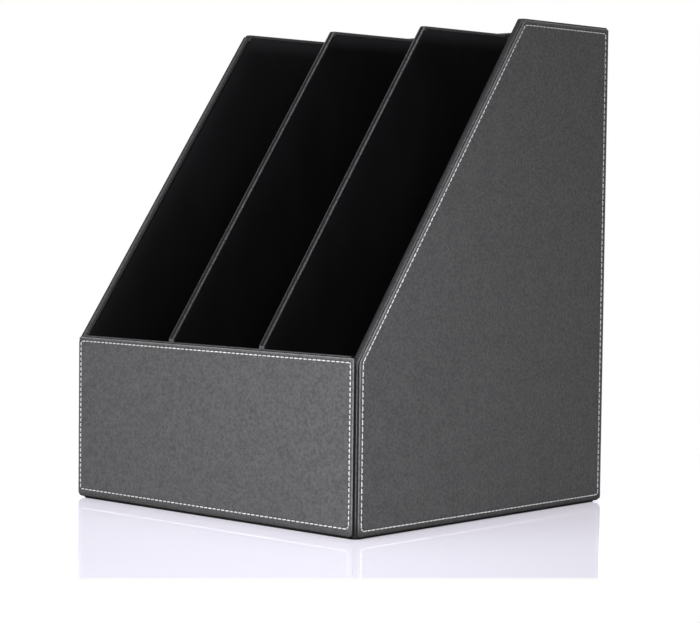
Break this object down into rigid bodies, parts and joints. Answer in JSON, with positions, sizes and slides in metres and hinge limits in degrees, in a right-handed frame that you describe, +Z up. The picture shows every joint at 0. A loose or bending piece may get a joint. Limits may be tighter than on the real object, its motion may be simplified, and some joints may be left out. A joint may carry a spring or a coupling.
{
  "type": "magazine rack",
  "caption": "Upright desk rack with side-by-side slots between sloping walls, covered in stitched dark grey imitation leather and lined with black velvet.",
  "frame": {"origin": "centre of the footprint, on the table", "axes": "+X to the right seen from the front, +Y from the low front wall to the back, +Z up"},
  "size_m": [0.257, 0.25, 0.321],
  "materials": {
    "panel_leather": "fine-grained dark grey imitation leather, satin",
    "wrap_leather": "thin dark grey imitation leather turned over board edges, satin",
    "velvet": "short-pile black velvet, matt",
    "felt": "thin black felt, matt",
    "fibreboard": "bare fibreboard, hidden under the covers",
    "thread": "pale grey sewing thread"
  },
  "bodies": {
    "root": {"base_board": "fibreboard", "base_lining": "velvet", "base_felt": "felt", "front_cover": "wrap_leather", "front_board": "fibreboard", "front_lining": "velvet", "front_panel": "panel_leather", "back_cover": "wrap_leather", "back_board": "fibreboard", "back_lining": "velvet", "back_panel": "panel_leather", "left_side_cover": "wrap_leather", "left_side_board": "fibreboard", "left_side_lining": "velvet", "left_side_panel": "panel_leather", "right_side_cover": "wrap_leather", "right_side_board": "fibreboard", "right_side_lining": "velvet", "right_side_panel": "panel_leather", "divider_1_board": "fibreboard", "divider_1_binding": "wrap_leather", "divider_1_left_lining": "velvet", "divider_1_right_lining": "velvet", "divider_2_board": "fibreboard", "divider_2_binding": "wrap_leather", "divider_2_left_lining": "velvet", "divider_2_right_lining": "velvet"}
  },
  "joints": []
}
